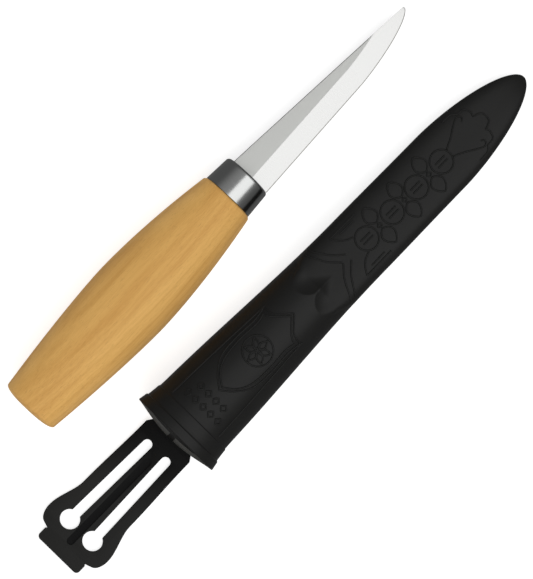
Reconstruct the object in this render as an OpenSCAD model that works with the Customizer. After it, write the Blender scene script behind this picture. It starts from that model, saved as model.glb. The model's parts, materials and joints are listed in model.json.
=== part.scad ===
// Carving knife with a barrel handle, beside its moulded belt sheath.
// Millimetres. +X runs along the sheath to its tip, +Y goes across to the knife, +Z is up.
// The origin is on the table, under the middle of the whole set.

/* [Blade] */
// Length of the blade beyond the ferrule
blade_l = 79.5; // [60:0.5:100]
// Thickness of the blade stock
blade_t = 2.7; // [1.8:0.1:3.5]
// Height of the spine over the knife's axis, at the ferrule
spine_rise = 6.8; // [5:0.1:7.5]
// Depth of the cutting edge under the knife's axis, at the ferrule
edge_depth = 8.7; // [6:0.1:8.9]
// How far the straight part of the edge climbs over the whole blade
edge_climb = 2.5; // [0:0.1:4]
// Height of the point over the knife's axis
point_rise = 0.9; // [-1:0.1:3]
// Length of the curved sweep of the edge up to the point
sweep_l = 30; // [15:1:45]
// Angle between the flat and the ground bevel
bevel_angle = 10.8; // [9:0.1:16]
// Width of the tang at its shoulder
tang_w = 9; // [6:0.5:11]
// Width of the tang where it becomes round
tang_tip_w = 5; // [4:0.5:6]
// Diameter of the round end of the tang
rivet_d = 3; // [2.5:0.1:3.6]
// Length of the round end of the tang
rivet_l = 12; // [8:1:20]

/* [Ferrule] */
// Length of the ferrule
ferrule_l = 10.5; // [7:0.5:14]
// Outside diameter of the ferrule where it meets the wood
ferrule_d = 19.5; // [18.6:0.1:20.2]
// How much narrower the ferrule is at its front
ferrule_draft = 1; // [0:0.1:1]
// Sheet thickness of the ferrule
ferrule_wall = 0.7; // [0.5:0.1:1]
// Radius of the ferrule's front edge
ferrule_round = 1.3; // [0.8:0.1:2]

/* [Handle] */
// Length of the wooden handle that shows
handle_l = 99.2; // [90:0.1:120]
// Width of the handle at its belly
handle_w = 29.5; // [26:0.5:33]
// Thickness of the handle at its belly
handle_t = 24; // [22:0.5:25.5]
// Distance of the belly from the butt
belly_x = 52; // [42:1:60]
// Width of the butt, before its edge is rounded
butt_w = 21; // [18:0.5:24]
// Thickness of the butt, before its edge is rounded
butt_t = 18.5; // [16:0.5:22]
// Diameter of the handle's front end
front_d = 20.6; // [20.2:0.1:21.4]
// Length over which the butt's edge is rounded
butt_round = 2; // [1:0.5:6]
// Length over which the front edge is rounded
front_round = 0.8; // [0.4:0.1:1.5]
// Exponent of the barrel's curve towards the butt
butt_curve = 1.5; // [1.4:0.1:2.2]
// Exponent of the barrel's curve towards the front
front_curve = 1.75; // [1.6:0.05:2.4]
// Diameter of the washer under the peened end
washer_d = 7; // [5:0.5:9]
// Thickness of that washer
washer_t = 0.8; // [0.5:0.1:1.2]

/* [Sheath] */
// Length of the sheath
sheath_l = 172.3; // [160:0.1:210]
// Width of the shell at its mouth, behind the rim
mouth_w = 33.4; // [32:0.2:36]
// Thickness of the shell at its mouth
mouth_t = 27.5; // [27:0.5:30]
// Thickness that the shell loses by the end of its handle part
handle_part_draft = 5.2; // [3:0.1:6]
// Extra width of the mouth's short flare
mouth_flare = 2.4; // [0:0.1:3]
// Length of that flare
flare_l = 12; // [8:1:20]
// Width of the shell at its waist
waist_w = 24.5; // [23:0.1:28]
// Where along the shell the waist is
waist_x = 90; // [80:1:100]
// Length of the handle part, up to the step down to the blade part
step_x = 62; // [58:1:66]
// Length of that step
step_l = 10; // [6:1:14]
// Thickness of the blade part where it starts
blade_part_t = 18.6; // [15:0.1:20]
// Width that the shell loses between its waist and its tip
lower_draft = 0.5; // [0:0.1:2]
// Thickness that the blade part loses by its tip
blade_part_draft = 10; // [6:0.5:11]
// Length of the rounded tip
tip_l = 42; // [30:1:50]
// Wall thickness
wall = 1.5; // [1.2:0.1:1.6]
// Solid length behind the very tip
tip_solid_l = 6; // [4:1:10]
// Length of the rim around the mouth
rim_l = 3.6; // [2:0.1:5]
// How far the rim stands out
rim_proud = 0.7; // [0.3:0.1:1.2]
// Length of the second, lower band behind the rim
band_l = 8.4; // [6:0.1:11]
// How far that band stands out
band_proud = 0.25; // [0.1:0.05:0.5]
// How far the middle of the back lip reaches past its corners
lip_bulge = 2; // [0:0.1:2.4]

/* [Strap] */
// Thickness of the strap
strap_t = 1.8; // [1.4:0.1:2.2]
// Distance of the first film hinge in front of the mouth
hinge_out = 0.2; // [0:0.1:2]
// Distance from the first film hinge to the second
neck_l = 3.9; // [3.6:0.1:8]
// Distance from the second film hinge to the third
panel_l = 49; // [46:0.5:52]
// Length of the tab beyond the third film hinge
tab_l = 5.5; // [5:0.1:6.5]
// Width of the neck at the mouth
neck_w = 17.8; // [14:0.2:20]
// Width of the panel near the neck
panel_w = 20.9; // [20:0.2:24]
// Extra width of the panel where the ears begin
panel_taper = 1.6; // [0:0.1:3]
// Width across the ears
ear_w = 28.4; // [26:0.2:32]
// Width of the tab
tab_w = 19.2; // [16:0.2:20]
// Width of the notch between ears and tab
notch_w = 18.4; // [15:0.2:19]
// Diameter of the two keyholes
keyhole_d = 7.2; // [5:0.1:7.6]
// Distance between the two keyholes
keyhole_spacing = 10.9; // [10.4:0.1:12]
// Distance of the keyholes from the third film hinge
keyhole_back = 6.6; // [6:0.1:9]
// Width of the slots
slot_w = 3.6; // [2:0.1:4]
// Distance between the slots' middle lines at their other end
slot_spacing = 8.8; // [7:0.1:10]
// Distance of that end from the second film hinge
slot_start = 5.1; // [4:0.1:10]
// Width of the channel in the middle bar
channel_w = 2.8; // [1.5:0.1:3]
// Depth of that channel
channel_depth = 0.6; // [0.2:0.1:0.8]
// Length of the strap's root on the back of the shell
anchor_l = 12; // [11:1:18]
// How far that root is moulded into the shell's wall
root_sink = 0.5; // [0.2:0.1:0.8]
// Gap between the flat end before a film hinge and the round end after it
hinge_gap = 0.35; // [0.25:0.05:0.5]
// Clearance of the tab all round in its slot
tab_gap = 0.4; // [0.2:0.05:0.6]

/* [Layout] */
// Place of the butt along the sheath, from the mouth
knife_x = -27.9; // [-60:0.1:20]
// Distance of the butt from the sheath's middle line
knife_y = 42.05; // [38:0.1:60]
// Angle between the knife and the sheath, seen from above
knife_yaw = 1.1; // [0:0.1:6]
// Tilt of the knife as it lies on the swell of its handle
knife_pitch = 2.7; // [0:0.1:5]

/* [Fits] */
// Clearance around the tang in the ferrule and the wood
tang_gap = 0.1; // [0.05:0.01:0.2]

/* [Hidden] */
steel = "#c9ccce";
dull_steel = "#70757a";
birch = "#d9a566";
black_plastic = "#232323";
round_fn = 64;

// ---- Rings and curves that the pieces share ----

function smooth(u) = let (v = min(max(u, 0), 1)) v * v * (3 - 2 * v);
function signed_pow(v, p) = sign(v) * pow(abs(v), p);

// One ring of a loft, as a superellipse: n = 2 is an ellipse, and more is squarer.
function ring(x, half_w, half_t, n, count) =
    [for (i = [0 : count - 1]) let (a = 360 * i / count)
        [x, half_w * signed_pow(cos(a), 2 / n), half_t * signed_pow(sin(a), 2 / n)]];

// A closed solid through a list of rings with the same number of points, capped at both ends.
module loft(rings) {
    count = len(rings[0]);
    last = (len(rings) - 1) * count;
    sides = [for (j = [0 : len(rings) - 2], i = [0 : count - 1])
        let (k = (i + 1) % count, a = j * count, b = a + count)
            each [[a + i, b + i, b + k], [a + i, b + k, a + k]]];
    start = [for (i = [0 : count - 1]) i];
    end = [for (i = [count - 1 : -1 : 0]) last + i];
    polyhedron(points = [for (r = rings) each r], faces = concat(sides, [start, end]));
}

// ---- Knife, in its own frame: the butt at the origin, +X to the point, +Y to the spine ----

ferrule_x = handle_l;
heel_x = handle_l + ferrule_l;
knife_l = heel_x + blade_l;
spigot_r = ferrule_d / 2 - ferrule_wall;
handle_count = 40;
butt_steps = 6;
barrel_steps = 20;

// How much of the full section is left at x, for a barrel curve from the belly to both ends.
function barrel(x, belly, butt, front) =
    x < belly_x
        ? belly - (belly - butt) * pow((belly_x - x) / belly_x, butt_curve)
        : belly - (belly - front) * pow((x - belly_x) / (handle_l - belly_x), front_curve);
// The share of the section that the rounded ends leave.
function end_round(x) =
    x < butt_round
        ? 0.3 + 0.7 * sqrt(1 - pow(1 - x / butt_round, 2.6))
        : x > handle_l - front_round
            ? 1 - 0.06 * pow((x - handle_l + front_round) / front_round, 2)
            : 1;
function handle_half_w(x) = end_round(x) * barrel(x, handle_w, butt_w, front_d) / 2;
function handle_half_t(x) = end_round(x) * barrel(x, handle_t, butt_t, front_d) / 2;
handle_stations = concat(
    [for (i = [0 : butt_steps - 1]) butt_round * (1 - cos(90 * i / butt_steps))],
    [for (i = [0 : barrel_steps])
        butt_round + (handle_l - front_round - butt_round) * i / barrel_steps],
    [handle_l - front_round / 2, handle_l]);

// The tang in plan, with the given clearance all round.
module tang(gap) {
    translate([0, 0, -blade_t / 2 - gap])
        linear_extrude(blade_t + 2 * gap)
            polygon([[rivet_l - gap, -tang_tip_w / 2 - gap], [heel_x, -tang_w / 2 - gap],
                     [heel_x, tang_w / 2 + gap], [rivet_l - gap, tang_tip_w / 2 + gap]]);
    rotate([0, 90, 0])
        cylinder(r = rivet_d / 2 + gap, h = rivet_l + 1, $fn = round_fn);
}

washer_x = 0.5;
peen_d = rivet_d + 1.6;

// Outline of the blade: the straight spine falls to the point, and the edge sweeps up to it.
function spine_y(u) = spine_rise + (point_rise - spine_rise) * u / blade_l;
function edge_y(u) =
    let (line = -edge_depth + edge_climb * u / blade_l,
         s = max(0, (u - blade_l + sweep_l) / sweep_l))
        line + (point_rise + edge_depth - edge_climb) * (1 - sqrt(1 - pow(s, 1.5)));
function blade_half_t(u) = min(blade_t / 2, (spine_y(u) - edge_y(u)) * tan(bevel_angle));
edge_half_t = 0.05;
straight_steps = 4;
sweep_steps = 16;
point_gap = 0.3;
blade_stations = concat(
    [for (i = [0 : straight_steps - 1]) (blade_l - sweep_l) * i / straight_steps],
    [for (i = [0 : sweep_steps])
        blade_l - sweep_l + (sweep_l - point_gap) * sin(90 * i / sweep_steps)]);
function blade_ring(u) =
    let (t = blade_half_t(u), top = spine_y(u), low = edge_y(u),
         border = min(low + t / tan(bevel_angle), top - edge_half_t))
        [[heel_x + u, top, -t], [heel_x + u, top, t], [heel_x + u, border, t],
         [heel_x + u, low, edge_half_t], [heel_x + u, low, -edge_half_t],
         [heel_x + u, border, -t]];

// The height that lays the lowest part of the handle on the table.
knife_lift = max([for (x = handle_stations)
    handle_half_t(x) * cos(knife_pitch) + x * sin(knife_pitch)]);

module place_knife() {
    translate([knife_x - origin_x, knife_y - origin_y, knife_lift])
        rotate([0, knife_pitch, knife_yaw])
            children();
}

module blade() {
    color(steel)
        place_knife()
            union() {
                loft([for (u = blade_stations) blade_ring(u)]);
                tang(0);
                rotate([0, 90, 0])
                    cylinder(d1 = rivet_d, d2 = peen_d, h = washer_x, $fn = round_fn);
            }
}

module ferrule() {
    outer_r = ferrule_d / 2;
    front_r = outer_r - ferrule_draft / 2;
    color(dull_steel)
        place_knife()
            difference() {
                translate([ferrule_x, 0, 0])
                    rotate([0, 90, 0])
                        rotate_extrude($fn = round_fn)
                            difference() {
                                union() {
                                    polygon([[0, 0], [outer_r, 0],
                                             [front_r, ferrule_l - ferrule_round],
                                             [front_r - ferrule_round, ferrule_l],
                                             [0, ferrule_l]]);
                                    translate([front_r - ferrule_round, ferrule_l - ferrule_round])
                                        circle(r = ferrule_round, $fn = round_fn);
                                }
                                square([spigot_r, ferrule_l - ferrule_wall]);
                                translate([-outer_r, 0])
                                    square([outer_r, ferrule_l]);
                            }
                tang(tang_gap);
            }
}

module handle() {
    color(birch)
        place_knife()
            difference() {
                union() {
                    loft([for (x = handle_stations)
                        ring(x, handle_half_w(x), handle_half_t(x), 2.15, handle_count)]);
                    translate([ferrule_x, 0, 0])
                        rotate([0, 90, 0])
                            cylinder(r = spigot_r, h = ferrule_l - ferrule_wall, $fn = round_fn);
                }
                tang(tang_gap);
                translate([-1, 0, 0])
                    rotate([0, 90, 0])
                        cylinder(d = washer_d, h = washer_x + washer_t + 1, $fn = round_fn);
            }
}

module tang_washer() {
    color(steel)
        place_knife()
            translate([washer_x, 0, 0])
                rotate([0, 90, 0])
                    difference() {
                        cylinder(d = washer_d, h = washer_t, $fn = round_fn);
                        translate([0, 0, -1])
                            cylinder(d = rivet_d, h = washer_t + 2, $fn = round_fn);
                    }
}

// ---- Sheath, in its own frame: the middle of the mouth at the origin, +X to the tip ----

shell_count = 48;
body_steps = 24;
tip_steps = 9;
tip_x = sheath_l - tip_l;
inner_end = sheath_l - tip_solid_l;
edge_r = 0.35;
lip_fade_l = 12;
mouth_squareness = 2.2;
blade_squareness = 4.5;

// The share of the full width and thickness that the rounded tip leaves.
function tip_share(x, fullness, root) =
    x < tip_x ? 1 : pow(max(0, 1 - pow((x - tip_x) / tip_l, fullness)), root);
function shell_half_w(x) =
    let (handle_part = mouth_w - mouth_flare,
         body = waist_w + (handle_part - waist_w) * (1 - smooth(x / waist_x)),
         flare = mouth_flare * pow(max(0, 1 - x / flare_l), 2),
         lower = lower_draft * smooth((x - waist_x) / (tip_x - waist_x)))
        (body + flare - lower) / 2 * tip_share(x, 1.75, 0.55);
function shell_half_t(x) =
    let (handle_part = mouth_t - handle_part_draft * min(x, step_x) / step_x,
         blade_part = blade_part_t
             - blade_part_draft * max(0, x - step_x) / (sheath_l - step_x))
        (blade_part + (handle_part - blade_part) * (1 - smooth((x - step_x) / step_l))) / 2
            * tip_share(x, 5, 0.5);
function squareness(x) = mouth_squareness
    + (blade_squareness - mouth_squareness) * smooth((x - step_x) / step_l);
// One ring of the shell, moved out of or into the wall by grow.
function shell_ring(x, grow) =
    [for (p = ring(x, max(0.4, shell_half_w(x) + grow), max(0.4, shell_half_t(x) + grow),
                   squareness(x), shell_count))
        let (back = max(0, -p[2] / shell_half_t(x)), fade = max(0, 1 - x / lip_fade_l))
            [p[0] - lip_bulge * pow(back, 3) * fade, p[1], p[2]]];

// Stations as [x, growth], from the tip to the rim.
body_stations = [for (i = [body_steps : -1 : 1])
    [band_l + 0.3 + (tip_x - band_l - 0.3) * i / body_steps, 0]];
tip_stations = [for (i = [tip_steps : -1 : 1])
    [tip_x + (tip_l - 0.1) * sin(90 * i / tip_steps), 0]];
rim_stations = [[band_l + 0.3, 0], [band_l, band_proud], [rim_l, band_proud],
                [rim_l - edge_r, rim_proud], [edge_r, rim_proud], [0, rim_proud - edge_r]];
outer_stations = concat(tip_stations, body_stations, rim_stations);
inner_stations = concat(
    [[0, -wall]],
    [for (i = [1 : body_steps]) [band_l + (tip_x - band_l) * i / body_steps, -wall]],
    [for (i = [1 : tip_steps - 1])
        [tip_x + (inner_end - tip_x) * sin(90 * i / (tip_steps - 1)), -wall]]);

// The shell's tilt: the root of the strap lifts its mouth, and its tip lies on the table.
back_rise = strap_t + rim_proud + 0.1;
mouth_axis_z = back_rise + mouth_t / 2;
sheath_pitch = min([for (s = tip_stations) atan((mouth_axis_z - shell_half_t(s[0])) / s[0])]);

module place_sheath() {
    lip_x = (mouth_t / 2) * sin(sheath_pitch);
    translate([lip_x - origin_x, -origin_y, mouth_axis_z])
        rotate([0, sheath_pitch, 0])
            children();
}

// ---- Strap, flat on the table, in the frame of the mouth: it runs towards -X ----

hinge_a = -hinge_out;
hinge_b = hinge_a - neck_l;
hinge_c = hinge_b - panel_l;
strap_end = hinge_c - tab_l;
hinge_r = strap_t / 2;
flat_gap = hinge_r + hinge_gap;
keyhole_x = hinge_c + keyhole_back;

module place_strap() {
    translate([-origin_x, -origin_y, 0])
        children();
}

// The full-round edge of a strap piece, along a film hinge.
module round_edge(x, width) {
    translate([x, width / 2, hinge_r])
        rotate([90, 0, 0])
            cylinder(r = hinge_r, h = width, $fn = round_fn);
}

module sheath_shell() {
    slot_x = hinge_a + panel_l;
    color(black_plastic)
        difference() {
            place_sheath()
                loft(concat([for (s = outer_stations) shell_ring(s[0], s[1])],
                            [for (s = inner_stations) shell_ring(s[0], s[1])]));
            place_strap()
                translate([slot_x - hinge_r - tab_gap, -tab_w / 2 - tab_gap, -1])
                    cube([strap_t + 2 * tab_gap, tab_w + 2 * tab_gap, tab_reach + tab_gap + 1]);
        }
}
// How high the tab's end stands when the strap is folded.
tab_reach = hinge_r - neck_l + tab_l;

module strap_anchor() {
    root_x = hinge_a + flat_gap;
    riser_x = band_l + 0.5;
    color(black_plastic)
        place_strap()
            union() {
                translate([root_x, -neck_w / 2, 0])
                    cube([anchor_l, neck_w, strap_t]);
                translate([riser_x, -neck_w / 2, 0])
                    cube([root_x + anchor_l - riser_x, neck_w, back_rise + root_sink]);
            }
}

module strap_neck() {
    plate_end = hinge_b + flat_gap;
    shoulder_x = hinge_a - neck_l / 4;
    color(black_plastic)
        place_strap()
            union() {
                round_edge(hinge_a, neck_w);
                linear_extrude(strap_t)
                    polygon([[hinge_a, -neck_w / 2], [hinge_a, neck_w / 2], [shoulder_x, neck_w / 2],
                             [plate_end, panel_w / 2 - 0.4], [plate_end, 0.4 - panel_w / 2],
                             [shoulder_x, -neck_w / 2]]);
            }
}

ear_x = hinge_c + 5.4;
ear_start = ear_x + 14;
ear_steps = 10;
shoulder_w = notch_w + 3.6;
// Half the width of the strap at x, from the panel over the ears to the shoulder before the tab.
function strap_half_w(x) =
    let (panel = panel_w + panel_taper * smooth((hinge_b - x) / (hinge_b - ear_start)))
        x > ear_x
            ? (panel + (ear_w - panel) * smooth((ear_start - x) / (ear_start - ear_x))) / 2
            : shoulder_w / 2 + (ear_w - shoulder_w) / 2
                * sqrt(max(0, 1 - pow((ear_x - x) / (ear_x - hinge_c + 0.1), 2)));

module strap_panel() {
    plate_end = hinge_c + flat_gap;
    right = concat(
        [[hinge_b, strap_half_w(hinge_b)]],
        [for (i = [0 : ear_steps]) let (x = ear_start + (ear_x - ear_start) * i / ear_steps)
            [x, strap_half_w(x)]],
        [for (i = [1 : ear_steps]) let (x = ear_x + (plate_end - ear_x) * i / ear_steps)
            [x, strap_half_w(x)]]);
    left = [for (i = [len(right) - 1 : -1 : 0]) [right[i][0], -right[i][1]]];
    slot_end = hinge_b - slot_start;
    slot_run = slot_end - keyhole_x;
    slot_shift = (keyhole_spacing - slot_spacing) / 2;
    color(black_plastic)
        place_strap()
            difference() {
                union() {
                    linear_extrude(strap_t)
                        polygon(concat(right, left));
                    round_edge(hinge_b, panel_w);
                }
                for (side = [-1, 1]) {
                    translate([keyhole_x, side * keyhole_spacing / 2, -1])
                        cylinder(d = keyhole_d, h = strap_t + 2, $fn = round_fn);
                    translate([keyhole_x, side * keyhole_spacing / 2, -1])
                        rotate([0, 0, -side * atan(slot_shift / slot_run)])
                            linear_extrude(strap_t + 2)
                                union() {
                                    translate([0, -slot_w / 2])
                                        square([slot_run, slot_w]);
                                    translate([slot_run, 0])
                                        circle(d = slot_w, $fn = round_fn);
                                }
                }
                translate([hinge_c - 1, -channel_w / 2, strap_t - channel_depth])
                    cube([hinge_b - slot_start - 2 - hinge_c, channel_w, channel_depth + 1]);
            }
}

module strap_tab() {
    notch_x = hinge_c - 1;
    corner = 1.5;
    color(black_plastic)
        place_strap()
            union() {
                round_edge(hinge_c, shoulder_w);
                linear_extrude(strap_t)
                    union() {
                        polygon([[hinge_c, shoulder_w / 2], [notch_x, notch_w / 2],
                                 [notch_x - 0.5, tab_w / 2], [strap_end + corner, tab_w / 2],
                                 [strap_end, tab_w / 2 - corner], [strap_end, corner - tab_w / 2],
                                 [strap_end + corner, -tab_w / 2], [notch_x - 0.5, -tab_w / 2],
                                 [notch_x, -notch_w / 2], [hinge_c, -shoulder_w / 2]]);
                        for (side = [-1, 1])
                            translate([strap_end + corner, side * (tab_w / 2 - corner)])
                                circle(r = corner, $fn = round_fn);
                    }
            }
}

// ---- The origin, under the middle of the set's box ----

side_y = -mouth_w / 2 - rim_proud;
knife_side_y = knife_y + belly_x * sin(knife_yaw) + handle_w / 2 * cos(knife_yaw);
origin_x = (strap_end + sheath_l) / 2;
origin_y = (side_y + knife_side_y) / 2;

blade();
ferrule();
handle();
tang_washer();
sheath_shell();
strap_anchor();
strap_neck();
strap_panel();
strap_tab();
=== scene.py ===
"""Carving knife with a barrel handle of birch, beside its moulded belt sheath: the finished pieces over the
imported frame. Everything ends in metres in the row frame. A shape is first worked out in millimetres, in the
knife's own axes (the butt at the origin, +X to the point, +Y to the spine), in the sheath's own axes (the
middle of the mouth at the origin, +X to the tip, +Z to the front) or in the strap's (the mouth at x = 0)."""
import json
import math

import bmesh
import bpy
import numpy as np
from mathutils import Euler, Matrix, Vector


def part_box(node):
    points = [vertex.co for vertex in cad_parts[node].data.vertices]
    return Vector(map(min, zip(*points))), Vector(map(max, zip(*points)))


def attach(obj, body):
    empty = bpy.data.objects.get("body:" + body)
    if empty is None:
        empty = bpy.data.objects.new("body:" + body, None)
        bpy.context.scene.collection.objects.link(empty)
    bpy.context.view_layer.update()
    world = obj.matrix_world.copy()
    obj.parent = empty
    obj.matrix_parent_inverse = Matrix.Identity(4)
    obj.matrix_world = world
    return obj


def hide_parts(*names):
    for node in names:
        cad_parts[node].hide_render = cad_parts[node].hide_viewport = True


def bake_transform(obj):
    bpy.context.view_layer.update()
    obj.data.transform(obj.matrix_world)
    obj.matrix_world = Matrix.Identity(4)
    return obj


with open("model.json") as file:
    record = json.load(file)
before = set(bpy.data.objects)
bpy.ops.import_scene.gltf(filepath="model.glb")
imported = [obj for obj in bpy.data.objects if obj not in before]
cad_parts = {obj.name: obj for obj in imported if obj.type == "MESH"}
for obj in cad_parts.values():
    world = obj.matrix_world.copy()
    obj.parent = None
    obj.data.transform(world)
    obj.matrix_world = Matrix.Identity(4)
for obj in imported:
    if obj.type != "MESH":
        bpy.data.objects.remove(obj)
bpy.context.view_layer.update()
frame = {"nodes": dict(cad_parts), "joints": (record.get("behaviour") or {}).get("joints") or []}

MM = 0.001
TURN = 2 * math.pi


# ---- Axes of the knife, the sheath and the strap ----

class Axes:
    """Own axes of a group of pieces: a place in metres and a turn, for points given in millimetres."""

    def __init__(self, place, turn=(0, 0, 0)):
        self.turn = Euler([math.radians(a) for a in turn], "XYZ")
        self.rotation = np.array(self.turn.to_matrix(), float)
        self.place = np.array(place, float)

    def world(self, points):
        """Points turned, scaled to metres and moved to the place."""
        return np.asarray(points, float) @ self.rotation.T * MM + self.place


def middle(node):
    """The middle of a node's box, in metres."""
    low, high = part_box(node)
    return np.array((low + high) / 2, float)


joints = {j["name"]: j for j in frame["joints"]}
fold_at = np.array(joints["strap_fold"]["pos_m"], float)
# The three film hinges and the end of the strap, along the strap from the mouth
HINGE_A, HINGE_B, HINGE_C, STRAP_END = -0.2, -4.1, -53.1, -58.6
# The shell's thickness at its mouth, its tilt in degrees, and the height of its axis at the mouth
MOUTH_T, SHEATH_TILT, MOUTH_AXIS_Z = 27.5, 4.22654, 16.35
# How the knife lies, in degrees, and the middle of its washer from the butt
KNIFE_TURN, WASHER_X = (0, 2.7, 1.1), 0.9
mouth_x = fold_at[0] - HINGE_A * MM
strap_axes = Axes((mouth_x, fold_at[1], 0))
sheath_axes = Axes((mouth_x + MOUTH_T / 2 * math.sin(math.radians(SHEATH_TILT)) * MM, fold_at[1],
                    MOUTH_AXIS_Z * MM), (0, SHEATH_TILT, 0))
washer_reach = Axes((0, 0, 0), KNIFE_TURN).world([WASHER_X, 0, 0])
knife_axes = Axes(middle("tang_washer") - washer_reach, KNIFE_TURN)


# ---- Meshes from whole arrays ----

def smooth(u):
    """A step from 0 to 1 with level ends: v * v * (3 - 2 v), v being u held between 0 and 1."""
    v = np.clip(u, 0, 1)
    return v * v * (3 - 2 * v)


def oval(x, half_w, half_t, n, count):
    """Rings around the X axis, one for each x: a superellipse of squareness n, found along the ray at each
    angle. Its distance is 1 / (|cos|^n + |sin|^n)^(1/n), in units of the half width and thickness."""
    a = np.linspace(0, TURN, count, endpoint=False)[None, :]
    x, half_w, half_t, n = (np.broadcast_to(np.asarray(v, float), np.shape(x))[:, None]
                            for v in (x, half_w, half_t, n))
    r = (np.abs(np.cos(a)) ** n + np.abs(np.sin(a)) ** n) ** (-1 / n)
    return np.stack([x + 0 * a, half_w * r * np.cos(a), half_t * r * np.sin(a)], -1)


def skin(rings, loop=False):
    """Closed surface over rings of points: quads between neighbours, and a fan over each end. A loop joins
    its last ring to its first instead. Faces point outwards when the rings run to +X and turn from +Y to
    +Z."""
    rows, cols = rings.shape[:2]
    index = np.arange(rows * cols).reshape(rows, cols)
    a = index if loop else index[:-1]
    b = np.roll(index, -1, 0) if loop else index[1:]
    quads = np.stack([a, np.roll(a, -1, 1), np.roll(b, -1, 1), b], -1).reshape(-1, 4).tolist()
    points = rings.reshape(-1, 3)
    if loop:
        return points, quads
    first, last = index[0], index[-1]
    ends = np.array([rings[0].mean(0), rings[-1].mean(0)])
    start = np.stack([np.full(cols, rows * cols), np.roll(first, -1), first], -1).tolist()
    finish = np.stack([np.full(cols, rows * cols + 1), last, np.roll(last, -1)], -1).tolist()
    return np.vstack([points, ends]), quads + start + finish


def joined(*parts):
    """Several closed surfaces as one mesh's points and faces."""
    points, faces, base = [], [], 0
    for p, f in parts:
        points.append(p)
        faces += [[i + base for i in face] for face in f]
        base += len(p)
    return np.vstack(points), faces


def placed(name, mesh, finishes, crease):
    """A piece at the origin that shows the mesh, with faces smooth up to the crease angle."""
    mesh.polygons.foreach_set("use_smooth", np.ones(len(mesh.polygons), bool))
    mesh.set_sharp_from_angle(angle=math.radians(crease))
    for finish in finishes:
        mesh.materials.append(finish.material)
    piece = bpy.data.objects.new(name, mesh)
    bpy.context.scene.collection.objects.link(piece)
    return piece


def make(name, shape, axes, finishes, crease=35):
    """A piece from the points and faces of a shape in its own axes."""
    points, faces = shape
    mesh = bpy.data.meshes.new(name)
    mesh.from_pydata(axes.world(points).tolist(), [], faces)
    return placed(name, mesh, finishes, crease)


def apply_modifiers(piece):
    """The piece's mesh with its modifiers worked into it."""
    bpy.context.view_layer.update()
    done = bpy.data.meshes.new_from_object(piece.evaluated_get(bpy.context.evaluated_depsgraph_get()))
    piece.modifiers.clear()
    piece.data = done
    return done


# ---- Finishes ----

class Value:
    """A socket's value. Python's operators on it add Math nodes."""

    def __init__(self, finish, socket):
        self.finish, self.socket = finish, socket

    def math(self, operation, *others):
        return self.finish.node("ShaderNodeMath", {"operation": operation},
                                dict(enumerate((self, *others))))

    def __add__(self, other): return self.math("ADD", other)
    def __sub__(self, other): return self.math("SUBTRACT", other)
    def __mul__(self, other): return self.math("MULTIPLY", other)
    def __pow__(self, other): return self.math("POWER", other)
    def __radd__(self, other): return self.math("ADD", other)
    def __rmul__(self, other): return self.math("MULTIPLY", other)

    def __rsub__(self, other):
        return self.finish.node("ShaderNodeMath", {"operation": "SUBTRACT"}, {0: other, 1: self})

    def step(self, low, high):
        """0 below low, 1 above high, and a smooth step between."""
        return self.finish.node("ShaderNodeMapRange", {"interpolation_type": "SMOOTHSTEP"},
                                {"Value": self, "From Min": low, "From Max": high})


class Finish:
    """A procedural material, whose patterns lie in the axes of its pieces, in millimetres."""

    def __init__(self, name, axes, **uniform):
        self.material = bpy.data.materials.new(name)
        self.material.use_nodes = True
        self.tree = self.material.node_tree
        self.shader = self.tree.nodes["Principled BSDF"]
        for key, value in uniform.items():
            socket = key.replace("_", " ").title().replace("Ior", "IOR")
            self.shader.inputs[socket].default_value = value
        where = self.tree.nodes.new("ShaderNodeTexCoord").outputs["Object"]
        self.at = self.node("ShaderNodeMapping", {"vector_type": "TEXTURE"},
                            {"Vector": Value(self, where), "Location": axes.place.tolist(),
                             "Rotation": list(axes.turn), "Scale": (MM, MM, MM)})

    def node(self, kind, settings, inputs, output=0):
        """Adds a node: its settings first, then the value or link of each socket. Gives one output."""
        node = self.tree.nodes.new(kind)
        for key, value in settings.items():
            setattr(node, key, value)
        for key, value in inputs.items():
            if isinstance(value, Value):
                self.tree.links.new(value.socket, node.inputs[key])
            else:
                node.inputs[key].default_value = value
        return Value(self, node.outputs[output])

    def stretched(self, scale, shift=(0, 0, 0)):
        """The place in the piece's axes, times a scale for each axis, plus a shift."""
        return self.node("ShaderNodeVectorMath", {"operation": "MULTIPLY_ADD"},
                         {0: self.at, 1: scale, 2: shift})

    def noise(self, scale, detail=2.0, roughness=0.5, shift=(0, 0, 0)):
        """Noise with about the given number of waves in a millimetre along each axis."""
        return self.node("ShaderNodeTexNoise", {},
                         {"Vector": self.stretched(scale, shift), "Scale": 1.0, "Detail": detail,
                          "Roughness": roughness})

    def parts(self):
        """The place's x, y and z."""
        return [self.node("ShaderNodeSeparateXYZ", {}, {0: self.at}, output=i) for i in range(3)]

    def mixed(self, low, high, share):
        """A colour between two others."""
        full = [c if isinstance(c, Value) else (*c, 1) for c in (low, high)]
        return self.node("ShaderNodeMix", {"data_type": "RGBA"}, {0: share, 6: full[0], 7: full[1]},
                         output=2)

    def bump(self, height, depth, strength=1.0):
        """Relief of the given depth in millimetres."""
        return self.node("ShaderNodeBump", {},
                         {"Height": height, "Distance": depth * MM, "Strength": strength})

    def wear(self, **sockets):
        """Links values to the shader's sockets."""
        for key, value in sockets.items():
            self.tree.links.new(value.socket, self.shader.inputs[key.replace("_", " ")])
        return self


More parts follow.
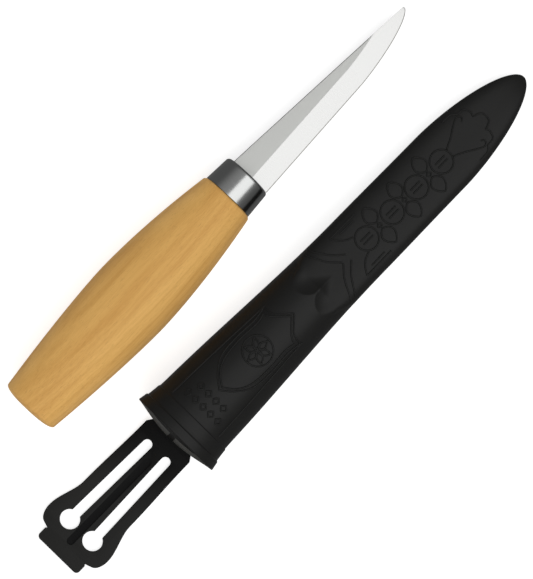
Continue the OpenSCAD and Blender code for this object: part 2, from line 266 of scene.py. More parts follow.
def oiled_birch():
    """Straight-grained oiled birch: growth layers around a pith far to one side, long fibres, short dark
    pores along the grain, and slow changes of tone."""
    f = Finish("oiled_birch", knife_axes, specular_ior_level=0.1)
    x, y, z = f.parts()
    sway = f.noise((0.012, 0.05, 0.05), 2.0)
    reach = ((y + 34.0) ** 2.0 + (z + 47.0) ** 2.0) ** 0.5 + sway * 5.0
    layer = (reach * (TURN / 2.6)).math("SINE") * 0.5 + 0.5
    fine_layer = (reach * (TURN / 0.9)).math("SINE") * 0.5 + 0.5
    fibre = f.noise((0.06, 4.6, 4.6), 4.0, 0.66)
    broad = f.noise((0.012, 0.16, 0.16), 2.0, shift=(4, 9, 2))
    pore = f.noise((0.30, 7.0, 7.0), 2.0, 0.6, shift=(7, 3, 5)).step(0.58, 0.74)
    shade = (layer ** 3.0 * 0.20 + fine_layer * 0.10 +
             fibre.step(0.3, 0.7) * 0.32 + broad.step(0.3, 0.7) * 0.38)
    base = f.mixed((0.760, 0.450, 0.142), (0.560, 0.285, 0.072), shade)
    base = f.mixed(base, (0.300, 0.150, 0.050), pore * 0.45)
    grain = fibre * 0.6 + (1 - pore) * 0.5
    return f.wear(Base_Color=base, Roughness=0.42 + fibre * 0.16, Normal=f.bump(grain, 0.035, 0.7))


def ground_steel(name, tone, gloss, lines, depth):
    """Steel with fine grinding lines: the noise is drawn out along the lines' direction."""
    f = Finish(name, knife_axes, metallic=1.0)
    scratch = f.noise(lines, 3.0, 0.65)
    cloud = f.noise((0.05, 0.09, 0.09), 2.0, shift=(3, 1, 8))
    base = f.mixed([c * 0.93 for c in tone], tone, scratch * 0.6 + cloud * 0.4)
    return f.wear(Base_Color=base, Roughness=gloss + scratch * 0.08 + cloud * 0.05,
                  Normal=f.bump(scratch, depth, 0.5))


def black_plastic(name, axes, tone, gloss, sheen, painted_pale_top=None):
    """Moulded polypropylene: near-black with a fine spark-eroded grain, slow changes of gloss and a few
    scuffs from rubbing.
    On the strap, painted light and shade: its top is painted paler towards its end, and left dark near the
    mouth, on its sides and in its channel."""
    f = Finish(name, axes, specular_ior_level=sheen)
    x, _, z = f.parts()
    grain = f.noise((5.0, 5.0, 5.0), 2.0, 0.6)
    cloud = f.noise((0.06, 0.12, 0.12), 3.0, shift=(2, 5, 1))
    scuff = f.noise((0.5, 2.8, 2.8), 3.0, 0.7, shift=(9, 4, 6)).step(0.6, 0.8)
    base = f.mixed(tone, [c * 1.9 for c in tone], cloud * 0.5 + scuff * 0.4)
    # Painted light and shade: the top is painted paler towards the strap's end, where light falls, and stays
    # dark near the mouth and in the channel, where shade falls.
    if painted_pale_top:
        base = f.mixed(base, painted_pale_top, (0 - x).step(6, 34) * z.step(1.3, 1.6) * (0.8 + cloud * 0.4))
    return f.wear(Base_Color=base, Roughness=gloss + cloud * 0.10 + grain * 0.06 - scuff * 0.04,
                  Normal=f.bump(grain + scuff * 0.3, 0.012, 0.6))


birch = oiled_birch()
flat_steel = ground_steel("blade_flat", (0.385, 0.388, 0.376), 0.30, (0.10, 7.0, 7.0), 0.010)
bevel_steel = ground_steel("blade_bevel", (0.40, 0.40, 0.395), 0.20, (6.0, 0.25, 0.25), 0.003)
tang_steel = ground_steel("tang_steel", (0.34, 0.33, 0.31), 0.42, (0.6, 3.0, 3.0), 0.006)
ferrule_steel = ground_steel("ferrule_steel", (0.37, 0.375, 0.37), 0.15, (0.9, 0.9, 6.0), 0.003)
shell_plastic = black_plastic("sheath_plastic", sheath_axes, (0.0092, 0.0092, 0.0088), 0.33, 0.12)
# The lip's pale tone is a painted highlight on the back of the mouth.
lip_highlight_plastic = black_plastic("lip_painted_highlight", sheath_axes, (0.052, 0.052, 0.049), 0.5, 0.2)
# The strap's pale top towards its end is painted light; its dark channel and mouth end are painted shade.
strap_plastic = black_plastic("strap_plastic", strap_axes, (0.0035, 0.0035, 0.0035), 0.42, 0.06,
                              painted_pale_top=(0.017, 0.017, 0.0162))


# ---- Knife ----

HANDLE_L, FERRULE_L, BLADE_L = 99.2, 10.5, 79.5
HEEL_X = HANDLE_L + FERRULE_L


def barrel(x, belly, butt, front):
    """Full section of the handle at x: it falls from the belly at 52 mm by power curves to the butt and to
    the front."""
    back = belly - (belly - butt) * np.clip((52 - x) / 52, 0, 1) ** 1.5
    fore = belly - (belly - front) * np.clip((x - 52) / (HANDLE_L - 52), 0, 1) ** 1.75
    return np.where(x < 52, back, fore)


def end_round(x):
    """Share of the section left by the rounded butt over its 2 mm, and by the eased front edge over 0.8 mm:
    0.3 + 0.7 sqrt(1 - u^2.6) with u falling from 1 to 0, times 1 - 0.06 v^2 with v rising to 1."""
    dome = 0.3 + 0.7 * np.sqrt(1 - np.clip(1 - x / 2, 0, 1) ** 2.6)
    ease = 1 - 0.06 * np.clip((x - HANDLE_L + 0.8) / 0.8, 0, 1) ** 2
    return dome * ease


def barrel_handle():
    """The turned handle: a recess for the washer in the butt, the dome, the barrel, the shoulder, and the
    spigot that the ferrule covers."""
    count = 128
    x = np.concatenate([2 * (1 - np.cos(np.linspace(0.24, np.pi / 2, 26))),
                        np.linspace(2, HANDLE_L - 0.8, 94)[1:], np.linspace(HANDLE_L - 0.8, HANDLE_L, 6)[1:]])
    half_w, half_t = (end_round(x) * barrel(x, *full) / 2 for full in ((29.5, 21, 20.6), (24, 18.5, 20.6)))
    outer = oval(x, half_w, half_t, 2.15, count)
    recess_x, recess_r = np.array([1.34, 1.3, 0.30, 0.16]), np.array([1.4, 3.58, 3.58, 3.72])
    recess = oval(recess_x, recess_r, recess_r, 2, count)
    spigot_r = np.array([9.4, 9.0, 9.0, 8.7])
    spigot = oval(HANDLE_L + np.array([0, 0, 8.9, 9.2]), spigot_r, spigot_r, 2, count)
    return skin(np.concatenate([recess, outer, spigot]))


def ferrule_cup():
    """The drawn steel cup: from the middle of its front over the rounded edge, along the tapered wall, round
    the rolled back edge and along the inside. The rings turn the other way, as they run to -X first."""
    t = np.linspace(0, np.pi / 2, 12)
    front = [(HEEL_X, r) for r in (1.5, 4, 6.5)] + \
        [(HEEL_X - 1.3 + 1.3 * np.cos(a), 7.85 + 1.3 * np.sin(a)) for a in t]
    wall = [(x, 9.15 + 0.6 * (HEEL_X - 1.3 - x) / 9.2) for x in np.linspace(HEEL_X - 2, HANDLE_L + 0.5, 10)]
    back = [(HANDLE_L + 0.5 - 0.5 * np.sin(a), 9.4 + 0.35 * np.cos(a)) for a in np.linspace(0.3, np.pi, 8)]
    inside = [(x, 9.05) for x in np.linspace(HANDLE_L + 0.5, HEEL_X - 0.7, 5)] + [(HEEL_X - 0.7, 1.5)]
    x, r = np.array(front + wall + back + inside).T
    return skin(oval(x, r, r, 2, 120)[:, ::-1])


def spine_y(u):
    """The straight spine, from 6.8 at the ferrule to 0.9 at the point."""
    return 6.8 - 5.9 * u / BLADE_L


def edge_y(u):
    """Cutting edge: a line that climbs 2.5 mm over the blade, then over the last 30 mm a sweep up to the
    point, 1 - sqrt(1 - s^1.5)."""
    s = np.clip((u - BLADE_L + 30) / 30, 0, 1)
    return -8.7 + 2.5 * u / BLADE_L + 7.1 * (1 - np.sqrt(1 - s ** 1.5))


def blade_steel():
    """The blade: across each station a spine with broken corners, a flat on both sides, and a bevel of
    10.8 degrees down to a fine edge. Behind the ferrule the tang narrows to its riveted end. Gives the shape
    and the number of faces on the blade itself, which come first."""
    u = np.concatenate([np.linspace(0, 49, 40), 49 + 30.25 * np.sin(np.linspace(0, np.pi / 2, 70))[1:]])
    top, low = spine_y(u), edge_y(u)
    slope = math.tan(math.radians(10.8))
    half_t = np.minimum(1.35, (top - low) * slope)
    border = np.minimum(low + half_t / slope, top - 0.05)
    chip = np.minimum(0.22, 0.25 * (top - border))
    lip = np.minimum(0.30, 0.2 * (border - low))
    edge_t = np.minimum(0.02 + lip * 0.45, half_t)
    level = [(border * k + (top - chip) * (1 - k), half_t) for k in (0.0, 0.33, 0.66, 1.0)]
    grind = [((low + lip) * k + border * (1 - k), edge_t * k + half_t * (1 - k)) for k in (0.5, 1.0)]
    side = [(top, np.maximum(half_t - chip, 0.02))] + level + grind + [(low, 0 * u + 0.03)]
    ring = [(y, t) for y, t in side] + [(y, -t) for y, t in side[::-1]]
    blade = np.stack([np.stack([HEEL_X + u, y, t], -1) for y, t in ring], 1)
    tang_x = np.array([11.0, 12.0, 40.0, 80.0, HEEL_X + 0.2])
    tang = oval(tang_x, np.interp(tang_x, [12, HEEL_X], [2.5, 4.5]), 1.35, 12, 32)
    peg_x = np.array([0.42, 0.44, 0.5, 0.62, 0.8, 1.0, 1.3, 12.6])
    peg = oval(peg_x, *[np.array([0.7, 1.7, 2.15, 2.3, 2.25, 1.6, 1.48, 1.48])] * 2, 2, 32)
    return joined(skin(blade[:, ::-1]), skin(tang), skin(peg)), len(skin(blade)[1])


def steel_of_faces(blade_faces, all_faces):
    """The finish of each face, by its place round the blade's section: 0 on the flats, 1 on the bevels, and 2
    on the spine, its broken corners and the last fine facet. The two end fans count as flat, and the tang
    takes 2."""
    around = np.array([2, 0, 0, 0, 1, 1, 2, 2, 2, 1, 1, 0, 0, 0, 2, 2])
    number = np.arange(blade_faces)
    end_fans = number >= blade_faces - 2 * len(around)
    finish = np.full(all_faces, 2, np.int32)
    finish[:blade_faces] = np.where(end_fans, 0, around[number % len(around)])
    return finish


handle = make("handle", barrel_handle(), knife_axes, [birch], 40)
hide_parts("handle")
ferrule = make("ferrule", ferrule_cup(), knife_axes, [ferrule_steel], 45)
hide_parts("ferrule")
blade_shape, blade_faces = blade_steel()
blade = make("blade", blade_shape, knife_axes, [flat_steel, bevel_steel, tang_steel], 5)
faces = blade.data.polygons
faces.foreach_set("material_index", steel_of_faces(blade_faces, len(faces)))
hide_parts("blade")
for piece in (handle, ferrule, blade):
    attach(piece, "knife")
washer = frame["nodes"]["tang_washer"]
washer.data.materials.clear()
washer.data.materials.append(tang_steel.material)


# ---- Sheath ----

SHEATH_L, TIP_L, TIP_SOLID_L, WALL, SHELL_COUNT = 172.3, 42.0, 6.0, 1.5, 256
TIP_X = SHEATH_L - TIP_L
STEP_X, STEP_L = 62, 10


def tip_share(x, fullness, root):
    """Share of the section that the rounded tip leaves: (1 - s^fullness)^root over the last 42 mm."""
    return (1 - np.clip((x - TIP_X) / TIP_L, 0, 1) ** fullness) ** root


def shell_half_w(x):
    """Half the width: 31 at the mouth falling smoothly to 24.5 at 90 mm, a flare of 2.4 over the first
    12 mm, and a draft of 0.5 below 90 mm."""
    body = 24.5 + 6.5 * (1 - smooth(x / 90))
    flare = 2.4 * np.clip(1 - x / 12, 0, None) ** 2
    return (body + flare - 0.5 * smooth((x - 90) / (TIP_X - 90))) / 2 * tip_share(x, 1.75, 0.55)


def handle_part_t(x):
    """Half the thickness of the handle part: 27.5 at the mouth, and 5.2 thinner at 62 mm."""
    return (MOUTH_T - 5.2 * np.minimum(x, STEP_X) / STEP_X) / 2


def blade_part_t(x):
    """Half the thickness of the blade part: 18.6 at 62 mm, and 10 thinner at the tip."""
    return (18.6 - 10 * np.clip(x - STEP_X, 0, None) / (SHEATH_L - STEP_X)) / 2 * tip_share(x, 5, 0.5)


def shell_half_t(x):
    """Half the thickness: a smooth step between the two parts, from 62 to 72 mm."""
    return handle_part_t(x) + (blade_part_t(x) - handle_part_t(x)) * smooth((x - STEP_X) / STEP_L)


HANDLE_PART_N, BLADE_PART_N = 2.2, 4.5


def squareness(x):
    """Squareness of the section: a smooth step between the two parts' own."""
    return HANDLE_PART_N + (BLADE_PART_N - HANDLE_PART_N) * smooth((x - STEP_X) / STEP_L)


def dome_z(half_t, y, half_w, n):
    """Height of a superellipse at y: half_t * (1 - |y / half_w|^n)^(1/n)."""
    return half_t * (1 - np.clip(np.abs(y) / half_w, 0, 0.999) ** n) ** (1 / n)


def high_share(x, y):
    """1 on the handle part's front and 0 on the blade part's. Two scoops reach back into the handle part,
    and widen towards the tip with a cusp between them. With s the depth inside a scoop's outline, which is an
    arc towards the mouth and two spreading lines beyond it, the share is (1 - s / 6.5)^2."""
    inside = [r + 0.9 * np.maximum(x - x0, 0) - np.hypot(np.minimum(x - x0, 0), y - y0)
              for x0, y0, r in ((69.2, 5.3, 6.0), (69.2, -6.3, 6.0))]
    return (1 - np.clip(np.maximum(*inside) / 6.5, 0, 1)) ** 2


def front_z(x, y):
    """Height of the front at x and y."""
    half_w = shell_half_w(x)
    high = dome_z(handle_part_t(x), y, half_w, HANDLE_PART_N)
    low = dome_z(blade_part_t(x), y, half_w, BLADE_PART_N)
    return low + (high - low) * high_share(x, y)


def shell_rings(x, grow, count):
    """Rings of the shell, moved out of or into the wall by grow. The back of the lip bulges towards the
    strap, and the front half changes from the handle part's rings to the blade part's over the scoops."""
    x, grow = np.broadcast_arrays(np.asarray(x, float), np.asarray(grow, float))
    half_w = np.maximum(shell_half_w(x) + grow, 0.3)
    sections = ((shell_half_t(x), squareness(x)), (handle_part_t(x), HANDLE_PART_N),
                (blade_part_t(x), BLADE_PART_N))
    rings, high, low = (oval(x, half_w, np.maximum(half_t + grow, 0.3), n, count) for half_t, n in sections)
    share = high_share(x[:, None], low[..., 1])[..., None]
    rings = np.where(rings[..., 2:] > 0, low + (high - low) * share, rings)
    back = np.clip(-rings[..., 2] / shell_half_t(x)[:, None].clip(0.3), 0, None)
    rings[..., 0] -= 2 * back ** 3 * np.clip(1 - x / 12, 0, None)[:, None]
    return rings


def shell_surface():
    """The pocket from its closed end to the mouth, over the lip, and the outside from the rim to the tip.
    The rim stands 0.7 mm proud up to 3.6 mm and a band 0.25 mm proud up to 8.4 mm, both with eased edges, and
    the lip's inner edge is chamfered. Gives the number of the lip's first ring as well."""
    tip_in = TIP_X + (TIP_L - TIP_SOLID_L) * np.sin(np.linspace(np.pi / 2, 0, 10))
    inner_x = np.concatenate([tip_in, np.linspace(TIP_X, 82, 10)[1:], np.linspace(82, 60, 34)[1:],
                              np.linspace(60, 2, 14)[1:]])
    chamfer = [(2.0, -WALL), (1.3, -1.36), (0.7, -1.16), (0.2, -0.8), (0.02, -0.55), (0.0, -0.4), (0.0, -0.2)]
    rim = [(0.0, 0.28), (0.05, 0.45), (0.16, 0.6), (0.34, 0.69), (0.55, 0.7), (1.5, 0.7), (2.6, 0.7),
           (3.15, 0.69), (3.35, 0.64), (3.5, 0.53), (3.58, 0.38), (3.62, 0.29), (3.7, 0.25)]
    band = [(5.0, 0.25), (6.6, 0.25), (8.1, 0.25), (8.26, 0.22), (8.36, 0.13), (8.42, 0.04), (8.5, 0.0)]
    edge_x, edge_out = np.array(chamfer + rim + band).T
    body = np.concatenate([np.linspace(9.2, STEP_X, 48), np.linspace(STEP_X, 80, 92)[1:],
                           np.linspace(80, TIP_X, 42)[1:],
                           TIP_X + (TIP_L - 0.1) * np.sin(np.linspace(0, np.pi / 2, 40))[1:]])
    x = np.concatenate([inner_x[:-1], edge_x, body])
    out = np.concatenate([np.full(len(inner_x) - 1, -WALL), edge_out, np.zeros(len(body))])
    return skin(shell_rings(x, out, SHELL_COUNT)), len(inner_x) - 1


def tab_slot():
    """The block that cuts the tab's slot through the back of the shell, where the folded strap ends."""
    x0, half_x, half_y = HINGE_A + HINGE_B - HINGE_C, 1.3, 10.0
    corner = np.array([(-1, -1), (1, -1), (1, 1), (-1, 1)])
    low, high = ([(x0 + half_x * a, half_y * b, z) for a, b in corner] for z in (-1.0, 2.9))
    sides = [[i, (i + 1) % 4, (i + 1) % 4 + 4, i + 4] for i in range(4)]
    return np.array(low + high), [[3, 2, 1, 0], [4, 5, 6, 7]] + sides


def lip_highlight_faces(count, lip_row):
    """1 on the lip that is painted pale as a highlight and 0 elsewhere: the rings over the lip's chamfer and
    its flat, round the back of the mouth, which is at three quarters of the turn, apart from its very middle."""
    number = np.arange(count)
    row = number // SHELL_COUNT - lip_row
    from_back = np.abs(number % SHELL_COUNT - SHELL_COUNT * 0.75)
    return ((row >= 2) & (row <= 6) & (from_back > 3) & (from_back < 52)).astype(np.int32)


shell_shape, lip_row = shell_surface()
sheath = make("sheath_shell", shell_shape, sheath_axes, [shell_plastic, lip_highlight_plastic], 40)
faces = sheath.data.polygons
# The lip at the back of the mouth takes the pale tone: a painted highlight.
faces.foreach_set("material_index", lip_highlight_faces(len(faces), lip_row))
cutter = make("tab_slot_cutter", tab_slot(), strap_axes, [shell_plastic])
cut = sheath.modifiers.new("tab_slot", "BOOLEAN")
cut.operation, cut.solver, cut.object = "DIFFERENCE", "EXACT", cutter
apply_modifiers(sheath)
sheath.data.set_sharp_from_angle(angle=math.radians(40))
bpy.data.objects.remove(cutter)
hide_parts("sheath_shell")
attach(sheath, "sheath")


# ---- Raised ornament on the front of the sheath ----

def spline(points, closed=False, each=8):
    """A smooth line through points (Catmull-Rom), with the given number of steps between two of them."""
    p = np.array(points, float)
    p = np.vstack([p[-1:], p, p[:2]]) if closed else np.vstack([2 * p[0] - p[1], p, 2 * p[-1] - p[-2]])
    t = np.linspace(0, 1, each, endpoint=False)[None, :, None]
    a, b, c, d = (p[k:len(p) - 3 + k][:, None, :] for k in range(4))
    square, cube = 2 * a - 5 * b + 4 * c - d, 3 * b - a - 3 * c + d
    line = 0.5 * (2 * b + (c - a) * t + square * t ** 2 + cube * t ** 3).reshape(-1, 2)
    return line if closed else np.vstack([line, p[-2]])


def straight(points, closed=False):
    """A line with corners, filled in at about every 0.5 mm."""
    p = np.array(points + points[:1] if closed else points, float)
    run = [np.linspace(a, b, max(2, int(np.hypot(*(b - a)) / 0.5) + 1))[:-1] for a, b in zip(p[:-1], p[1:])]
    return np.vstack(run if closed else run + [p[-1:]])


def ring_line(x0, y0, r):
    """A circle, in steps of about 0.6 mm."""
    a = np.linspace(0, TURN, int(r * TURN / 0.6))[:-1]
    return np.stack([x0 + r * np.cos(a), y0 + r * np.sin(a)], -1)


def rib(line, closed=False, width=0.62, height=0.36):
    """A half-round rib along a line drawn in plan on the front: its section stands on the surface's normal,
    and its foot is sunk a little into the wall."""
    x, y = line.T
    e = 0.05
    z = front_z(x, y)
    normal = np.stack([-(front_z(x + e, y) - front_z(x - e, y)) / (2 * e),
                       -(front_z(x, y + e) - front_z(x, y - e)) / (2 * e), np.ones_like(x)], -1)
    normal /= np.linalg.norm(normal, axis=1, keepdims=True)
    path = np.stack([x, y, z], -1)
    along = np.roll(path, -1, 0) - np.roll(path, 1, 0) if closed else np.gradient(path, axis=0)
    side = np.cross(normal, along)
    side /= np.linalg.norm(side, axis=1, keepdims=True)
    a = np.radians([0, 36, 72, 108, 144, 180])
    across = np.concatenate([np.cos(a), [-0.8, 0.8]]) * width / 2
    up = np.concatenate([np.sin(a) * height, [-0.18, -0.18]])
    rings = path[:, None] + side[:, None] * across[None, :, None] + normal[:, None] * up[None, :, None]
    return skin(rings, loop=closed)


def mirrored(line):
    """The line on the other side of the middle."""
    return line * np.array([1, -1])


def ornament():
    """The pattern's lines, tip upwards: border lines and a cartouche with a six-petal rosette on the handle
    part, and on the blade part a swag, four beads with leaves between them, and a scalloped fan. Each entry
    is a line, whether it is closed, and a width and height of its own if it has them."""
    lines = []

    def draw(points, side=1, through=spline, closed=False):
        lines.append((through([(x, side * y) for x, y in points], closed), closed))

    for side in (1, -1):
        x = np.linspace(9.5, 52, 90)
        lines.append((np.stack([x, side * (shell_half_w(x) - 4.7)], -1), False, 0.55, 0.32))
        for pull in (0.0, 1.3):
            draw([(21 + pull, 0), (24.5 + pull * 0.6, 4.2 - pull * 0.3), (30, 7.6 - pull), (38, 8.3 - pull),
                  (46, 7.9 - pull), (51.2 - pull, 8.6 - pull)], side)
            draw([(51.2 - pull, 8.6 - pull), (52.0 - pull, 5.2), (54.6 - pull, 2.4), (57.2 - pull, 0)], side)
    rosette = [39.5, 0]
    lines.append((ring_line(*rosette, 5.3), True))
    for k in range(6):
        a = math.radians(60 * k)
        turn = np.array([[math.cos(a), math.sin(a)], [-math.sin(a), math.cos(a)]])
        petal = spline([(0.5, 0), (2.4, 1.05), (4.7, 0)])
        for half in (petal, mirrored(petal)):
            lines.append((half @ turn + rosette, False))
    for x0, shift in ((13.2, 0.0), (17.6, 1.75)):
        for y0 in (k * 3.5 + shift for k in range(-2, 3)):
            if abs(y0) < 8:
                draw([(x0 - 1.3, y0), (x0, y0 + 1.2), (x0 + 1.3, y0), (x0, y0 - 1.2)],
                     through=straight, closed=True)
    for side in (1, -1):
        draw([(74.1, 10.9), (75.6, 8.0), (77.6, 4.2), (81.2, 0.15)], side)
        draw([(76.2, 10.9), (78.0, 8.0), (80.4, 4.6), (84.0, 1.3)], side)
        draw([(84.0, 8.9), (85.4, 6.6), (87.6, 4.6), (90.0, 3.7)], side)
        draw([(84.0, 8.9), (96.0, 8.8)], side, straight)
        draw([(87.6, 7.6), (94.0, 7.5)], side, straight)
    beads = (93.0, 105.6, 117.6, 130.0)
    for x0 in beads:
        lines.append((ring_line(x0, 0, 4.15), True))
        for y0 in (-0.75, 0.75):
            draw([(x0 - 2.3, y0), (x0 + 2.3, y0)], through=straight)
    for a, b in zip(beads[:-1], beads[1:]):
        m = (a + b) / 2
        draw([(m - 0.9, 0), (m, 0.9), (m + 0.9, 0), (m, -0.9)], through=straight, closed=True)
        for side in (1, -1):
            draw([(m, 1.5), (m + 2.4, 3.4), (m + 2.2, 5.6), (m + 0.6, 7.6), (m - 0.6, 7.6), (m - 2.2, 5.6),
                  (m - 2.4, 3.4)], side, closed=True)
    for side in (1, -1):
        draw([(134.2, 1.6), (138, 3.4), (141.6, 5.6), (144.6, 6.9), (145.9, 5.6), (144.9, 4.6)], side)
        draw([(140.0, 9.2), (143.6, 9.0), (145.6, 7.4)], side)
        draw([(145.6, 7.4), (148.4, 7.0), (149.4, 4.6), (148.9, 3.1)], side)
    draw([(148.9, 3.1), (151.6, 2.0), (152.3, 0), (151.6, -2.0), (148.9, -3.1)])
    return lines


raised_lines = joined(*[rib(line, *how) for line, *how in ornament()])
pattern = make("sheath_ornament", raised_lines, sheath_axes, [shell_plastic], 60)
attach(pattern, "sheath")


# ---- Strap ----

STRAP_T, PANEL_W, EAR_W, NOTCH_W, TAB_W, NECK_W = 1.8, 20.9, 28.4, 18.4, 19.2, 17.8
EAR_X = HINGE_C + 5.4
EAR_START = EAR_X + 14
SHOULDER_W = NOTCH_W + 3.6
ROOT_END = 13.05


def strap_half_w(x):
    """Half the strap's width from the panel over the ears to the shoulder: a smooth step out to the ears,
    and a quarter ellipse back in."""
    panel = PANEL_W + 1.6 * smooth((HINGE_B - x) / (HINGE_B - EAR_START))
    swell = panel + (EAR_W - panel) * smooth((EAR_START - x) / (EAR_START - EAR_X))
    past_ear = (EAR_X - x) / (EAR_X - HINGE_C + 0.1)
    round_in = SHOULDER_W + (EAR_W - SHOULDER_W) * np.sqrt(np.clip(1 - past_ear ** 2, 0, 1))
    return np.where(x > EAR_X, swell, round_in) / 2


def prism(outline, low, high):
    """An outline in plan, counter-clockwise seen from above, drawn up from low to high."""
    n = len(outline)
    points = np.vstack([np.column_stack([outline, np.full(n, z)]) for z in (low, high)])
    sides = [[i, (i + 1) % n, (i + 1) % n + n, i + n] for i in range(n)]
    return points, [list(range(n))[::-1], list(range(n, 2 * n))] + sides


def strap_outline():
    """Half of the strap's edge from the root to the tab's rounded corner, and its mirror image."""
    x = np.concatenate([np.linspace(HINGE_B + 0.6, EAR_START, 10), np.linspace(EAR_START, EAR_X, 22)[1:],
                        EAR_X + (HINGE_C - EAR_X) * np.sin(np.linspace(0, np.pi / 2, 18))[1:]])
    a = np.linspace(0, np.pi / 2, 8)
    corner = np.stack([STRAP_END + 1.5 - 1.5 * np.sin(a), TAB_W / 2 - 1.5 + 1.5 * np.cos(a)], -1)
    neck = [(ROOT_END, NECK_W / 2), (HINGE_A - 1.0, NECK_W / 2)]
    notch = [(HINGE_C - 0.8, NOTCH_W / 2), (HINGE_C - 1.2, NOTCH_W / 2), (HINGE_C - 1.6, TAB_W / 2)]
    half = np.vstack([neck, np.stack([x, strap_half_w(x)], -1), notch, corner])
    return np.vstack([half, mirrored(half)[::-1]])


def keyhole(side):
    """A keyhole's outline: most of a circle of 7.2 mm, opening into a slot 3.6 mm wide with a round end."""
    hole_r, slot_r = 3.6, 1.8
    hole, slot_end = np.array([HINGE_C + 6.6, side * 5.45]), np.array([HINGE_B - 5.1, side * 4.4])
    along = (slot_end - hole) / np.hypot(*(slot_end - hole))
    left = np.array([-along[1], along[0]])
    open_at = math.asin(slot_r / hole_r)

    def bow(centre, r, start, end, count):
        a = np.linspace(start, end, count)[:, None]
        return centre + r * (np.cos(a) * along + np.sin(a) * left)

    return np.vstack([bow(hole, hole_r, open_at, TURN - open_at, 44),
                      bow(slot_end, slot_r, -np.pi / 2, np.pi / 2, 22)])


def hinge_groove(x0):
    """The groove under a film hinge: half an ellipse that leaves 0.5 mm of film on top."""
    a = np.linspace(0, np.pi, 14)
    arch = np.stack([x0 + 1.25 * np.cos(a), -0.02 + 1.32 * np.sin(a)], -1)
    x, z = np.vstack([arch, [(x0 - 1.25, -1), (x0 + 1.25, -1)]]).T
    return skin(np.stack([np.stack([x, np.full(len(x), y), z], -1) for y in (-16.0, 16.0)]))


def channel():
    """The long shallow channel in the middle bar, with round ends."""
    a = np.linspace(-np.pi / 2, np.pi / 2, 12)
    end = np.stack([np.cos(a), np.sin(a)], -1) * 1.4
    outline = np.vstack([end + [HINGE_B - 9.4, 0], -end + [HINGE_C + 1.5, 0]])
    return prism(outline, STRAP_T - 0.6, STRAP_T + 1)


def whole_strap():
    """The strap as one solid: the outline cut by the keyholes, the channel and the grooves, with every edge
    eased by 0.25 mm."""
    piece = make("strap", prism(strap_outline(), 0, STRAP_T), strap_axes, [strap_plastic])
    cuts = [prism(keyhole(side), -1, STRAP_T + 1) for side in (1, -1)] + [channel()] + \
        [hinge_groove(x0) for x0 in (HINGE_A, HINGE_B, HINGE_C)]
    tools = []
    for shape in cuts:
        tool = make("strap_cutter", shape, strap_axes, [strap_plastic])
        tool.modifiers.new("tri", "TRIANGULATE")
        cut = piece.modifiers.new("cut", "BOOLEAN")
        cut.operation, cut.solver, cut.object = "DIFFERENCE", "EXACT", tool
        tools.append(tool)
    ease = piece.modifiers.new("ease", "BEVEL")
    ease.width, ease.segments, ease.limit_method, ease.angle_limit = 0.25 * MM, 3, "ANGLE", math.radians(42)
    apply_modifiers(piece)
    for tool in tools:
        bpy.data.objects.remove(tool)
    return piece


def strap_length(whole, name, start, end, bends):
    """The stretch of the strap between two cross cuts, closed at both, with extra lines across its bends."""
    bm = bmesh.new()
    bm.from_mesh(whole.data)
    place = strap_axes.place

    def across(x, side):
        every = bm.verts[:] + bm.edges[:] + bm.faces[:]
        found = bmesh.ops.bisect_plane(bm, geom=every, dist=1e-7, plane_co=(place[0] + x * MM, 0, 0),
                                       plane_no=(1, 0, 0), clear_outer=side > 0, clear_inner=side < 0)
        if side:
            edges = [g for g in found["geom_cut"] if isinstance(g, bmesh.types.BMEdge)]
            bmesh.ops.holes_fill(bm, edges=edges, sides=0)

    across(start, 1)
    across(end, -1)
    for x in bends:
        across(x, 0)
    bmesh.ops.recalc_face_normals(bm, faces=bm.faces[:])
    mesh = bpy.data.meshes.new(name)
    bm.to_mesh(mesh)
    bm.free()
    return placed(name, mesh, [strap_plastic], 28)


def bend_lines(x0):
    """Eleven lines across a film hinge, over 2.4 mm."""
    return [x0 + d for d in np.linspace(-1.2, 1.2, 11)]


def bend_at(piece, x0):
    """Bakes a stretch of the strap's place into its mesh. The points 1.1 mm on both sides of the film hinge
    are worked out but not used, so the stretch does not bend.
    """
    start, end = (strap_axes.world([x0 + d, 0, 0]) for d in (1.1, -1.1))
    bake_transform(piece)


def root_riser():
    """The block between the end of the strap's root and the back of the shell, with eased edges."""
    start, half = ROOT_END - 4.15, NECK_W / 2
    foot = np.array([(start, -half), (ROOT_END, -half), (ROOT_END, half), (start, half)])
    piece = make("strap_riser", prism(foot, 0.6, 3.1), strap_axes, [strap_plastic])
    ease = piece.modifiers.new("ease", "BEVEL")
    ease.width, ease.segments = 0.3 * MM, 2
    apply_modifiers(piece)
    return piece


strap = whole_strap()
NECK_CUT, PANEL_CUT, TAB_CUT = -2.15, -6.6, -50.8
root = strap_length(strap, "strap_root", ROOT_END + 2, NECK_CUT, bend_lines(HINGE_A))
neck = strap_length(strap, "strap_neck_bend", NECK_CUT, PANEL_CUT, bend_lines(HINGE_B))
panel = strap_length(strap, "strap_panel_plate", PANEL_CUT, TAB_CUT, [])
tab = strap_length(strap, "strap_tab_bend", TAB_CUT, STRAP_END - 2, bend_lines(HINGE_C))
bpy.data.objects.remove(strap)
riser = root_riser()
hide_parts("strap_anchor")
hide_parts("strap_neck")
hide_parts("strap_panel")
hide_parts("strap_tab")
bend_at(root, HINGE_A)
bend_at(neck, HINGE_B)
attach(panel, "strap_panel")
bend_at(tab, HINGE_C)
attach(riser, "sheath")


# ---- Floor, light and camera ----

FLOOR_Z, FLOOR_HALF, FLOOR_LINES = -0.0003, 4, 9


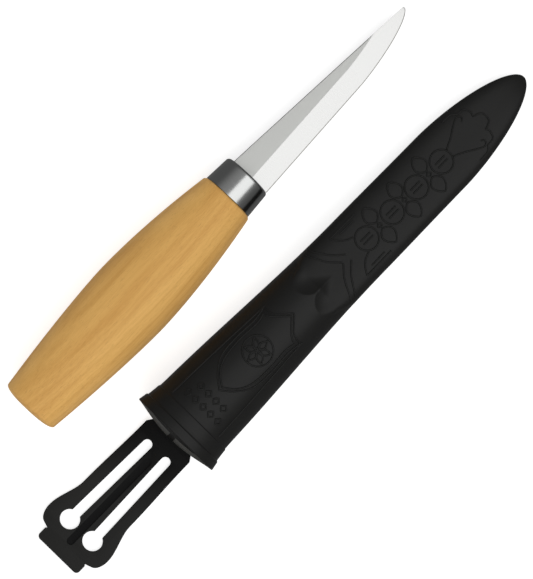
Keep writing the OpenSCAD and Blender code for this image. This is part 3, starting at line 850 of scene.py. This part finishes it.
def pale_floor():
    """A wide, level, pale floor just under the pieces."""
    row = np.linspace(-FLOOR_HALF, FLOOR_HALF, FLOOR_LINES)
    x, y = np.meshgrid(row, row, indexing="ij")
    points = np.stack([x, y, 0 * x + FLOOR_Z], -1).reshape(-1, 3) / MM
    index = np.arange(x.size).reshape(x.shape)
    quads = np.stack([index[:-1, :-1], index[1:, :-1], index[1:, 1:], index[:-1, 1:]], -1)
    f = Finish("lit_floor", Axes((0, 0, 0)), specular_ior_level=0.0, emission_color=(1, 1, 1, 1),
               emission_strength=0.70)
    tone = f.mixed((0.54, 0.54, 0.54), (0.56, 0.56, 0.56), f.noise((0.002, 0.002, 0.002)))
    f.wear(Base_Color=tone, Roughness=0.9 + f.noise((0.01, 0.01, 0.01)) * 0.05)
    floor = make("floor", (points, quads.reshape(-1, 4).tolist()), Axes((0, 0, 0)), [f])
    floor.visible_glossy = False


def softbox(name, place, aim, size, watts):
    """A rectangular area light, in metres, that faces the aim."""
    lamp = bpy.data.lights.new(name, "AREA")
    lamp.shape, lamp.size, lamp.size_y, lamp.energy = "RECTANGLE", size[0], size[1], watts
    holder = bpy.data.objects.new(name, lamp)
    holder.location = place
    holder.rotation_euler = (Vector(aim) - Vector(place)).to_track_quat("-Z", "Y").to_euler()
    bpy.context.scene.collection.objects.link(holder)


def soft_world(low, high):
    """White light from all round. Its strength is low up to a quarter of the way to the zenith, and from
    there climbs by a smooth step to high."""
    world = bpy.data.worlds.new("studio")
    world.use_nodes = True
    tree = world.node_tree
    direction, parts, climb = (tree.nodes.new(kind) for kind in
                               ("ShaderNodeTexCoord", "ShaderNodeSeparateXYZ", "ShaderNodeMapRange"))
    climb.interpolation_type = "SMOOTHSTEP"
    for socket, value in {"From Min": 0.25, "From Max": 1.0, "To Min": low, "To Max": high}.items():
        climb.inputs[socket].default_value = value
    sky = tree.nodes["Background"]
    sky.inputs["Color"].default_value = (1, 1, 1, 1)
    tree.links.new(direction.outputs["Generated"], parts.inputs[0])
    tree.links.new(parts.outputs["Z"], climb.inputs["Value"])
    tree.links.new(climb.outputs[0], sky.inputs["Strength"])
    bpy.context.scene.world = world


def camera_above(x, y, height, turn, focal_length):
    """A camera that looks straight down on the set, turned in plan by an angle in degrees."""
    lens = bpy.data.cameras.new("camera")
    lens.sensor_width, lens.lens = 36, focal_length
    camera = bpy.data.objects.new("camera", lens)
    camera.location = (x, y, height)
    camera.rotation_euler = (0, 0, math.radians(turn))
    bpy.context.scene.collection.objects.link(camera)
    bpy.context.scene.camera = camera


pale_floor()
softbox("key_softbox", (0.0, -0.52, 1.2), (0.0, -0.52, 0), (2.2, 1.25), 16)
soft_world(0.17, 0.5)
camera_above(0.00125, -0.0079, 0.800, -45.7, 143.26)
bpy.context.scene.view_settings.view_transform = "Standard"
